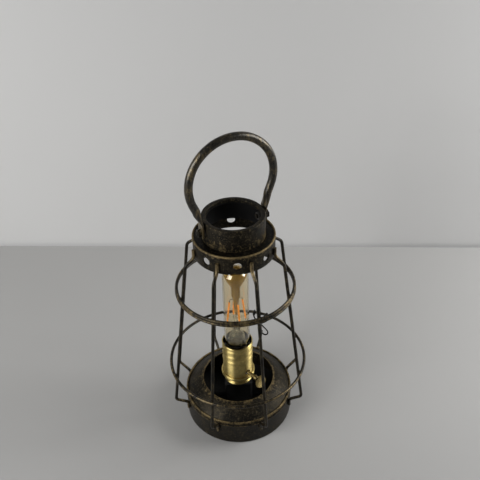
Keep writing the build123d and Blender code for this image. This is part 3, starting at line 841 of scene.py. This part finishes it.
makeRibs()
makeRing("upperRingTop", "upper_ring_top", tilt=-0.25)
makeRing("upperRingBottom", "upper_ring_bottom", tilt=0.25)
makeRing("lowerRing", "lower_ring")
makeWelds()
print("cage done")

# tie wire at the back right
tie = {
    "wire": 1.8,
    "azimuth": 157.5,
    "coil": 10,         # points of the turn round the ring
    "coilEnd": -80,
    "coilStep": 45,
    "coilPitch": 0.25,
    "clear": 0.1,
    "spread": 9.5,
    "bow": 0.95,        # the ring curves away from the straight coil
    "left": ((10, 2, 0.2), (9, 8, 0.1), (6, 13, 0), (0, 18.5, 0), (-4, 23, 0), (-8, 28, 0.2),
             (-9, 33, 0.3), (-6.5, 38, 0.3), (-2.5, 38.5, 0.2), (0, 35, 0.1)),
    "right": ((-10, 2, 1), (-9, 8, 1), (-6, 13, 1.1), (0, 18, 1.2), (3, 22, 0.9), (4.8, 27, 0.3),
              (4.4, 32, 0.1), (2, 35.5, 0.5), (-0.8, 33, 0.9)),
}


# Two ends of soft wire, wound once round the lower ring, crossed over the rib and left in open loops.
def makeTie():
    radius, height = ringMiddle("lower_ring")
    wrap = (ringWires["lower_ring"] + tie["wire"]) / 2 + tie["clear"]
    wires = []
    for name, side in (("left", 1), ("right", -1)):
        points = []
        for n in range(tie["coil"]):
            around = math.radians(tie["coilEnd"] - tie["coilStep"] * (tie["coil"] - 1 - n))
            along = side * (tie["spread"] - n * tie["coilPitch"])
            points.append((radius + wrap * math.cos(around) - tie["bow"], along,
                           height + wrap * math.sin(around)))
        for along, down, layer in tie[name]:
            z = height - wrap - down
            clear = (cage["ribWire"] + tie["wire"]) / 2 + tie["clear"] + layer * tie["wire"]
            points.append((ribRadius(z) + clear, along, z))
        wires.append(looseWire("tie" + name, points, tie["wire"]))
    pair = joined("ringTie", wires)
    pair.rotation_euler = (0, 0, math.radians(tie["azimuth"] - 90))
    settle(pair)
    return finished(pair, annealed, "lantern", "tie_wire", "ring_tie")


makeTie()
print("tie done")

# collar and chimney
collar = {
    "sheet": 1.6,
    "bead": 2.4,
    "hole": 9.0,
    "holeRise": 10.2,
    "firstHole": 4.0,
    "holes": 8,
}


def makeCollar():
    radius = outside("collar_band")
    low, high = heights("collar_band")
    inner = radius - collar["sheet"]
    band = turned("collarBand", [(inner, low), (radius, low), (radius, (low + high) / 2), (radius, high),
                                 (inner, high), (inner, (low + high) / 2)], steps=144, soften=0.3)
    for number in range(collar["holes"]):
        angle = math.radians(collar["firstHole"] + number * 360 / collar["holes"] - 90)
        cutter = cylinder("holeCutter", collar["hole"] / 2, 10, 36)
        cutWith(band, placed(cutter, alongAxis(angle, low + collar["holeRise"], radius)))
    eased(band, 0.25)
    smooth(band, 40)
    wearAndPaintedLight(band, lambda co: 0.1 + 0.4 * near(co.z, high, 3.0) + 0.25 * near(co.z, low, 2.0))
    finished(band, iron, "lantern", "aged_iron", "collar_band")

    bead = collar["bead"] / 2
    middle = middleHeight("collar_rim")
    circle = arc(outside("collar_rim") - bead, middle, bead, 0, 330, 11)
    rim = turned("collarRim", circle, steps=144, soften=0)
    wearAndPaintedLight(rim, lambda co: 0.85)
    finished(rim, iron, "lantern", "aged_iron", "collar_rim")

    ledgeLow, ledgeHigh = heights("collar_ledge")
    hole = outside("chimney_tube") + 0.05
    edge = outside("collar_ledge")
    ledge = turned("collarLedge", [(hole, ledgeLow), (edge, ledgeLow), (edge, ledgeHigh),
                                   ((hole + edge) / 2, ledgeHigh - 0.25), (hole, ledgeHigh)], steps=144)
    wearAndPaintedLight(ledge, lambda co: 0.02)
    # the ledge takes the darker iron copy, as painted shade
    finished(ledge, ironPaintedShade, "lantern", "aged_iron", "collar_ledge")


chimney = {
    "sheet": 1.6,
    "lipTurn": 5.2,
    "mouth": 28.4,
    "boltHole": 5.1,
}


def makeChimney():
    radius = outside("chimney_tube")
    low, high = heights("chimney_tube")
    inner = radius - chimney["sheet"]
    tube = turned("chimneyTube", [(inner, low), (radius, low), (radius, low + 2), (radius, high),
                                  (inner, high), (inner, low + 2)], steps=128, soften=0.2)
    cutter = cylinder("boltCutter", chimney["boltHole"] / 2, 3 * radius)
    cutWith(tube, placed(cutter, alongAxis(bailAngle, pivotHeight)))
    smooth(tube, 40)
    # the tube's inside is set below -0.5 and painted plain black: unworn paint and painted shade inside
    # the tube
    wearAndPaintedLight(tube, lambda co: 0.1 + 0.5 * near(co.z, low + 2, 4.5) - 2 * (reach(co) < radius - 0.8))
    finished(tube, iron, "lantern", "aged_iron", "chimney_tube")

    lipHigh = top("chimney_lip")
    mouth = chimney["mouth"]
    turn = lipHigh - chimney["lipTurn"]
    profile = [(mouth, turn), (mouth + 1.2, turn), (mouth + 1.2, high), (radius, high)]
    profile += [(radius, lipHigh - 0.7), (radius - 0.7, lipHigh), (mouth + 1.0, lipHigh - 0.1),
                (mouth, lipHigh - 1.0)]
    lip = turned("chimneyLip", profile, steps=128, soften=0.35)
    # the lip's inner turn-down is set below -0.5 and painted plain black: unworn paint and painted shade
    # inside the mouth
    wearAndPaintedLight(lip, lambda co: 0.45 * near(reach(co), radius, 1.2) + 0.45 * near(reach(co), mouth, 1.0)
         - 2 * (co.z < lipHigh - 1.6) * (reach(co) < radius - 1))
    finished(lip, iron, "lantern", "aged_iron", "chimney_lip")


makeCollar()
makeChimney()
print("collar and chimney done")

# bail
bail = {
    "bar": 8.6,
    "radius": 47.0,
    "wrap": 22.0,
    "leg": 8.0,
    "strap": 3.0,
    "strapWidth": 11.0,
    "strapRise": 10.5,
    "strapDrops": (3.5, 7.0, 10.5, 12.6, 14.2, 15.3),
    "washer": 0.85,
    "sideGap": 0.15,
    "pivotHole": 5.16,
    "roundFrom": 5.0,       # how far under the pivot the strap's end starts to round off
    "faceCurve": 0.3,
    "edgeCurve": 0.8,
    "drawnSteps": 8,
    "bulge": 0.42,
    "bowSteps": 72,
    "sides": 20,
    "dentRoom": 0.1,        # the bow stands this much lower, so its dents stay under its top
}


def strapInside():   # the straps swing just clear of the washers on the chimney
    return outside("chimney_tube") + bail["washer"] + bail["sideGap"]


def makeBail():
    centre = top("bail_handle") - bail["bar"] / 2 - bail["dentRoom"] - bail["radius"]
    wrap = math.radians(bail["wrap"])
    start = Vector((bail["radius"] * math.cos(wrap), 0, centre - bail["radius"] * math.sin(wrap)))
    freshStart()
    bpy.ops.mesh.primitive_circle_add(vertices=bail["sides"], radius=bail["bar"] / 2 * mm,
                                      location=start * mm, rotation=(0, wrap + math.pi, 0))
    bar = settle(named("bailHandle"))
    edit(bar)
    bpy.ops.mesh.spin(steps=bail["bowSteps"], angle=math.pi + 2 * wrap, center=(0, 0, centre * mm),
                      axis=(0, 1, 0))
    leaveEdit()
    # each end is drawn out from round to a flat strap
    strapMiddle = strapInside() + bail["strap"] / 2
    strapTop = pivotHeight + bail["strapRise"]
    stations = []
    down = Vector((-math.sin(wrap), 0, -math.cos(wrap)))
    leg = start + down * bail["leg"]
    for n in range(1, 3):
        stations.append((start + down * bail["leg"] * n / 2, wrap, 1.0))
    for n in range(1, bail["drawnSteps"] + 1):
        t = n / bail["drawnSteps"]
        ease = t * t * (3 - 2 * t)
        middle = leg.lerp(Vector((strapMiddle, 0, strapTop)), t)
        middle.x += bail["bulge"] * math.sin(math.pi * t)
        stations.append((middle, wrap * (1 - ease), 1 - ease))
    for drop in bail["strapDrops"]:
        stations.append((Vector((strapMiddle, 0, strapTop - drop)), 0.0, 0.0))
    for side in (1, -1):
        rings = []
        for middle, lean, roundness in stations:
            rings.append((Vector((middle.x * side, 0, middle.z)), lean * side, roundness))
        growEnd(bar, rings, Vector((start.x * side, 0, start.z)), side)
    cleaned(bar)
    for angle in (0, math.pi):
        cutter = cylinder("pivotCutter", bail["pivotHole"] / 2, 8)
        cutWith(bar, placed(cutter, alongAxis(angle, pivotHeight, strapMiddle)))
    roughen(bar, 9, 0.25)
    bar.rotation_euler = (0, 0, bailAngle)
    settle(bar)
    smooth(bar, 40)
    wearAndPaintedLight(bar, lambda co: 0.18 + 0.2 * math.sin(co.z * 0.16) ** 2 + 0.3 * (co.z < strapTop))
    return finished(bar, ironBail, "bail", "aged_iron", "bail_handle")


def growEnd(bar, rings, start, side):
    tolerance = bail["bar"] * 0.52      # a little over the bar's own radius
    wrap = math.radians(bail["wrap"])
    down = Vector((-math.sin(wrap) * side, 0, -math.cos(wrap)))
    edit(bar, lambda co: (co - start).length < tolerance and abs((co - start).dot(down)) < 0.05)
    last = start
    lastLean = wrap * side
    for middle, lean, roundness in rings:
        bpy.ops.mesh.extrude_region_move(TRANSFORM_OT_translate={"value": (middle - last) * mm})
        leaveEdit()
        shapeRing(bar, middle, lean, roundness, lastLean)
        bpy.ops.object.mode_set(mode="EDIT")
        last = middle
        lastLean = lean
    bpy.ops.mesh.edge_face_add()
    leaveEdit()


# The selected ring becomes a section between round and flat, square to its lean.
def shapeRing(bar, middle, lean, roundness, lastLean):
    radius = bail["bar"] / 2
    depth = bail["strap"] / 2
    halfWidth = bail["strapWidth"] / 2
    across = Vector((math.cos(lean), 0, -math.sin(lean)))
    lastAcross = Vector((math.cos(lastLean), 0, -math.sin(lastLean)))
    drop = pivotHeight - bail["roundFrom"] - middle.z
    width = halfWidth if drop < 0 else math.sqrt(max(halfWidth**2 - drop**2, 0.3))
    for vertex in bar.data.vertices:
        if not vertex.select:
            continue
        offset = vertex.co / mm - middle
        angle = math.atan2(offset.y, offset.dot(lastAcross))
        c, s = math.cos(angle), math.sin(angle)
        flat = Vector((depth * math.copysign(abs(c) ** bail["faceCurve"], c),
                       width * math.copysign(abs(s) ** bail["edgeCurve"], s)))
        both = Vector((radius * c, radius * s)) * roundness + flat * (1 - roundness)
        vertex.co = (middle + across * both.x + Vector((0, both.y, 0))) * mm


bolt = {
    "flats": 8.0,
    "nutHeight": 3.0,
    "shank": 5.0,
    "head": 4.2,
    "inner": 11.5,      # how far the shank runs inwards from the strap's face
    "chamfer": 0.55,
    "seat": 4.5,        # radius of the collar under the nut
    "seatHeight": 0.8,
}


def makeBolts():
    strapFace = strapInside() + bail["strap"] + bail["sideGap"]
    for side, name in ((0, "right"), (math.pi, "left")):
        height = bolt["nutHeight"]
        nut = settle(cylinder("pivotNut", bolt["flats"] / math.sqrt(3), height, 6,
                              location=(0, 0, height / 2 * mm)))
        edit(nut, lambda co: co.z > height - 0.1)
        bpy.ops.mesh.bevel(offset=bolt["chamfer"] * mm, segments=3, affect="EDGES")
        leaveEdit()
        r = bolt["shank"] / 2
        inner = bolt["inner"]
        head = bolt["head"]
        shank = turned("pivotShank", [(0, -inner), (r - 0.4, -inner), (r, 0.4 - inner), (r, head - 0.9),
                                      (r - 0.5, head - 0.3), (r * 0.45, head), (0, head)],
                       steps=28, soften=0)
        edge, rise = bolt["seat"], bolt["seatHeight"]
        seat = turned("pivotSeat", [(r + 0.1, 0), (edge, 0), (edge, rise - 0.3), (edge - 0.3, rise),
                                    (r + 0.1, rise)], steps=40, soften=0)
        whole = joined("pivotBolt" + name.capitalize(), [nut, shank, seat])
        placed(whole, alongAxis(bailAngle + side, pivotHeight, strapFace))
        smooth(whole, 35)
        wearAndPaintedLight(whole, lambda co: 0.4)
        finished(whole, iron, "lantern", "aged_iron", "pivot_bolt_" + name)


makeBail()
makeBolts()
print("bail done")

# lamp holder
holder = {
    "shellWall": 1.2,
    "thread": 0.75,
    "threadPitch": 8.4,
    "threadTurns": 3.1,
    "threadLow": 20.0,
    "rimRoll": 2.6,
    "skirt": 17.0,      # the plain barrel under the threads
    "window": 4.4,
    "capHub": 8.0,
    "capBore": 5.1,
}


def makeShell():
    radius = outside("socket_shell")
    low, high = heights("socket_shell")
    barrel = radius - holder["thread"]
    inner = radius - holder["shellWall"]
    roll = high - holder["rimRoll"]
    bead = holder["rimRoll"] * 0.42
    profile = [(inner, low), (barrel + 0.3, low), (barrel + 0.3, low + holder["skirt"]),
               (barrel, low + holder["skirt"] + 1.5),
               (barrel, roll - 0.8), (radius - bead * 0.55, roll)]
    profile += arc(radius - bead, high - bead, bead, 0, 90, 5)
    profile += [(inner, high - 0.3), (inner, (low + high) / 2)]
    shell = turned("socketShell", profile, steps=120, soften=0.12)
    wave = holder["threadPitch"] * 0.36
    start = low + holder["threadLow"]
    flank = barrel + holder["thread"] * 0.7
    ridge = chain("socketThread", [(barrel - 0.15, 0, start - wave), (flank, 0, start - wave * 0.45),
                                   (radius, 0, start), (flank, 0, start + wave * 0.45),
                                   (barrel - 0.15, 0, start + wave)])
    modifier(ridge, "SCREW", angle=2 * math.pi * holder["threadTurns"], steps=320, render_steps=320,
             screw_offset=holder["threadPitch"] * holder["threadTurns"] * mm, use_merge_vertices=False,
             use_smooth_shade=True)
    edit(ridge)
    bpy.ops.mesh.normals_make_consistent(inside=False)
    leaveEdit()
    smooth(ridge, 60)
    cutter = cylinder("windowCutter", holder["window"], 8, 4)
    cutWith(shell, placed(cutter, alongAxis(keyAngle, keyHeight, radius)))
    smooth(shell, 40)
    whole = joined("socketShell", [shell, ridge])
    return finished(whole, brass, "lantern", "brass", "socket_shell")


def makeCap():
    low, high = heights("socket_cap")
    flange = outside("socket_cap")
    pocket = outside("socket_shell") + 0.06
    ring = flange - 3.1
    hub, bore = holder["capHub"], holder["capBore"]
    profile = [(bore, low), (hub, low), (hub, low + 2.2), (hub + 1.2, low + 3.1)]
    profile += arc(ring - 1.5, low + 4.9, 1.5, -90, 80, 9)
    profile += [(ring - 2.2, low + 6.9), (ring - 2.0, low + 9.4), (pocket - 0.6, high - 5.6)]
    profile += arc(flange - 1.5, high - 3.0, 1.5, -90, 0, 6)
    profile += arc(flange - 1.1, high - 1.1, 1.1, 0, 90, 6)
    profile += [(pocket, high), (pocket, high - 3.0), (ring - 2.2, high - 3.0),
                (ring - 3.8, low + 6.9), (ring - 3.8, low + 4.8), (bore, low + 4.8)]
    cap = turned("socketCap", profile, steps=120, soften=0.1)
    return finished(cap, brass, "lantern", "brass", "socket_cap")


key = {
    "stem": 2.2,
    "slot": 1.5,
    "slotInset": 1.4,
    "slotStop": 0.6,
    "hub": 3.2,
    "hubLength": 3.6,
    "bladeLength": 13.0,
    "bladeWidth": 15.6,
    "blade": 1.2,
    "ridges": 8,
    "ridge": 0.75,
    "turn": 47.0,
    "reach": 14.7,      # from the shell's face to the paddle
    "camStart": 2.0,
    "camEnd": 6.0,
    "camRadius": 5.0,
    "pivotToCore": 25.0,
}


def keyPlace():
    return alongAxis(keyAngle, keyHeight) @ Matrix.Rotation(math.radians(key["turn"]), 4, "Z")


def makeKey():
    base = math.hypot(*joint("key_turn")["pos_m"][:2]) / mm - key["pivotToCore"]
    shellFace = outside("socket_shell")
    end = shellFace + key["reach"]
    bladeMiddle = end + key["bladeLength"] / 2
    hubStart = end - key["hubLength"]
    camStart, camEnd = base + key["camStart"], base + key["camEnd"]
    stem = turned("keyStem", [(0, camStart), (key["camRadius"], camStart), (key["camRadius"], camEnd),
                              (key["stem"], camEnd), (key["stem"], end - 0.5), (key["stem"] - 0.5, end),
                              (0, end)], steps=40, soften=0)
    slotStart = shellFace + key["slotInset"]
    slotLength = hubStart - key["slotStop"] - slotStart
    freshStart()
    bpy.ops.mesh.primitive_cube_add(size=mm, location=(0, 0, (slotStart + slotLength / 2) * mm),
                                    scale=(12, key["slot"], slotLength))
    cutWith(stem, settle(named("slotCutter")))
    smooth(stem, 40)
    placed(stem, keyPlace())
    finished(stem, brassKey, "key", "brass", "key_stem")

    bore = key["stem"] + 0.03
    hubEnd = hubStart + key["hubLength"] + 1.0
    hub = turned("keyHub", [(bore, hubStart), (key["hub"], hubStart), (key["hub"], hubStart + 2.6),
                            (key["hub"] - 0.8, hubEnd), (bore, hubEnd)], steps=40, soften=0.3)
    middle = (0, 0, bladeMiddle * mm)
    blade = settle(cylinder("keyPaddle", 0.5, 1, 64, rotation=(math.pi / 2, 0, 0), location=middle))
    edit(blade)
    bpy.ops.transform.resize(value=(key["bladeWidth"], key["blade"], key["bladeLength"]),
                             center_override=middle)
    leaveEdit()
    eased(blade, 0.5, 3)
    parts = [blade, hub]
    for n in range(key["ridges"]):   # the grip's raised lines, on both faces
        across = (n + 0.5) / key["ridges"] * 2 - 1
        length = math.sqrt(1 - across**2) * key["bladeLength"] * 0.86
        place = across * key["bladeWidth"] * 0.47 * mm
        ridge = cylinder("keyRidge", key["ridge"], length, 12, location=(place, 0, bladeMiddle * mm))
        settle(ridge)
        edit(ridge)
        bpy.ops.transform.resize(value=(0.8, (key["blade"] / 2 + 0.6) / key["ridge"], 1),
                                 center_override=(place, 0, 0))
        leaveEdit()
        eased(ridge, 0.3)
        parts.append(ridge)
    paddle = joined("keyPaddle", parts)
    smooth(paddle, 40)
    placed(paddle, keyPlace())
    finished(paddle, brassKey, "key", "brass", "key_paddle")


makeShell()
makeCap()
makeKey()
print("lamp holder done")

# bulb and filaments
bulb = {
    "wall": 0.9,
    "neck": 12.3,
    "neckStraight": 3.4,
    "neckFlare": 6.8,
    "stemRod": 1.7,
    "filament": 1.1,
    "cap": 0.75,
    "capLength": 2.4,
    "lead": 0.32,
    "filaments": 4,
    "firstFilament": 18.0,
    "foot": 11.5,
    "head": 7.6,
    "funnel": 30.0,
    "waist": 5.3,
    "tailHooks": 25.5,  # height of the upper leads' hooks over the funnel's tip
}


def makeBulb():
    radius = outside("bulb_glass")
    low, high = heights("bulb_glass")
    centre = high - radius
    neck = low + bulb["neckStraight"]
    middle = (radius + bulb["neck"]) / 2
    profile = [(bulb["neck"], low), (bulb["neck"], neck), (bulb["neck"] + 0.4, neck + 1.4),
               (middle, neck + bulb["neckFlare"] / 2), (radius - 0.4, neck + bulb["neckFlare"] - 1.4),
               (radius, neck + bulb["neckFlare"])]
    profile += arc(0, centre, radius, 0, 90, 18)
    glass = turned("bulbGlass", profile, steps=128, soften=0, sheet=bulb["wall"])
    smooth(glass, 60)
    finished(glass, amber, "bulb", "amber_glass", "bulb_glass")

    stemLow = bottom("bulb_stem")
    pinch = bottom("lower_leads") + 0.3
    rodTop = top("bulb_stem")
    foot = bulb["neck"] - bulb["wall"] - 0.3
    rod = bulb["stemRod"]
    outer = [(foot, stemLow), (foot - 0.2, stemLow + 4), (foot - 0.9, pinch - 14),
             (foot - 2.2, pinch - 8.5), (foot - 4.6, pinch - 4.2), (4.0, pinch - 1.5), (3.8, pinch + 0.8),
             (rod + 0.4, pinch + 2.6), (rod, pinch + 5), (rod * 0.8, rodTop - 0.4), (0, rodTop)]
    inner = [(0, pinch - 3.6), (3.2, pinch - 4.2), (foot - 5.6, pinch - 5.6), (foot - 3.2, pinch - 9.4),
             (foot - 1.9, pinch - 14.3), (foot - 1.2, stemLow + 4), (foot - 1.0, stemLow)]
    flare = turned("bulbStem", outer + inner + [outer[0]], steps=64, soften=0.0)
    smooth(flare, 50)
    finished(flare, stemGlass, "bulb", "clear_glass", "bulb_stem")

    tail, rim = heights("bulb_top_mount")
    floor = rim - bulb["funnel"]
    waist = bulb["waist"]
    edge = outside("bulb_top_mount")
    profile = [(0, tail), (1.5, tail + 0.5), (3.9, floor - 1.0), (4.6, floor), (waist, floor + 2.0),
               (waist, floor + 13.0), (waist + 1.0, floor + 16.0), (waist + 3.4, floor + 20.5),
               (edge - 0.9, floor + 26.0), (edge, rim)]
    dome = radius - bulb["wall"] - 0.4
    profile += arc(0, centre, dome, 20, 86, 10) + arc(0, centre, dome - 0.6, 86, 20, 10)
    profile += [(edge - 0.8, rim), (edge - 1.8, floor + 26.2), (waist + 2.5, floor + 21.0),
                (waist + 0.1, floor + 16.5), (waist - 0.9, floor + 13), (waist - 0.9, floor + 3),
                (0, floor + 2.2)]
    funnel = turned("bulbFunnel", profile, steps=72, soften=0)
    smooth(funnel, 60)
    finished(funnel, amberDeep, "bulb", "amber_glass", "bulb_top_mount")


def filamentEnds(number):
    turn = math.radians(bulb["firstFilament"] + number * 360 / bulb["filaments"] - 90)
    out = Vector((math.cos(turn), math.sin(turn), 0))
    foot = out * bulb["foot"] + Vector((0, 0, bottom("filaments")))
    head = out * bulb["head"] + Vector((0, 0, top("filaments")))
    return out, foot, head


def makeFilaments():
    rods, caps, lower, upper = [], [], [], []
    pinch = bottom("lower_leads")
    hooks = bottom("bulb_top_mount") + bulb["tailHooks"]
    for number in range(bulb["filaments"]):
        out, foot, head = filamentEnds(number)
        along = (head - foot).normalized()
        lean = along.to_track_quat("Z", "Y").to_matrix().to_4x4()
        place = Matrix.Translation((foot + head) / 2 * mm) @ lean
        length = (head - foot).length
        rod = cylinder("filament", bulb["filament"], length - 2 * bulb["capLength"] * 0.6, 24)
        eased(rod, 0.6, 4)
        smooth(rod, 50)
        rods.append(placed(rod, place))
        for end in (-1, 1):
            height = end * (length - bulb["capLength"]) / 2 * mm
            cap = cylinder("filamentCap", bulb["cap"], bulb["capLength"], 16, location=(0, 0, height))
            settle(cap)
            eased(cap, 0.2)
            caps.append(placed(cap, place))
        start = out * 3.2 + Vector((0, 0, pinch - 6))
        bend = out * (bulb["foot"] - 1.5) + Vector((0, 0, pinch + 7))
        rise = out * 3.4 + Vector((0, 0, pinch + 1))
        lower.append(looseWire("lowerLead", [start, rise, bend, foot - along], 2 * bulb["lead"]))
        hook = out * (bulb["head"] - 1.5) + Vector((0, 0, hooks - 1.2))
        tip = out * 3.6 + Vector((0, 0, hooks - 2.0))
        upper.append(looseWire("upperLead", [head + along * 0.4, head + along * 1.6, hook, tip],
                               2 * bulb["lead"]))
    finished(joined("filamentRods", rods), phosphor, "bulb", "filament", "filaments")
    finished(joined("filamentCaps", caps), leadWire, "bulb", "steel")
    finished(joined("lowerLeads", lower), leadWire, "bulb", "steel", "lower_leads")
    finished(joined("upperLeads", upper), leadWire, "bulb", "steel", "upper_leads")


makeBulb()
makeFilaments()
print("bulb done")

# hidden pieces, which keep their CAD shape
# the base's inside pieces and the steel rivets take the near-black paint, partly painted shade of the
# hollow
cadOnly = {
    "base_plate": black, "holder_bracket": black, "foot_pads": rubber, "cord_grommet": rubber,
    "bracket_rivets": black, "threaded_nipple": steel, "nipple_nuts": steel, "holder_washer": steel,
    "terminal_screws": steel, "pivot_nuts": steel, "pivot_washers": steel,
    "socket_liner": fibre, "socket_core": porcelain, "screw_shell": brassDull,
    "centre_contact": brassDull, "bulb_tip": solder, "bulb_insulator": blackGlass, "bulb_screw": brassDull,
}
for node, material in cadOnly.items():
    nodes[node].data.materials.clear()
    nodes[node].data.materials.append(material)
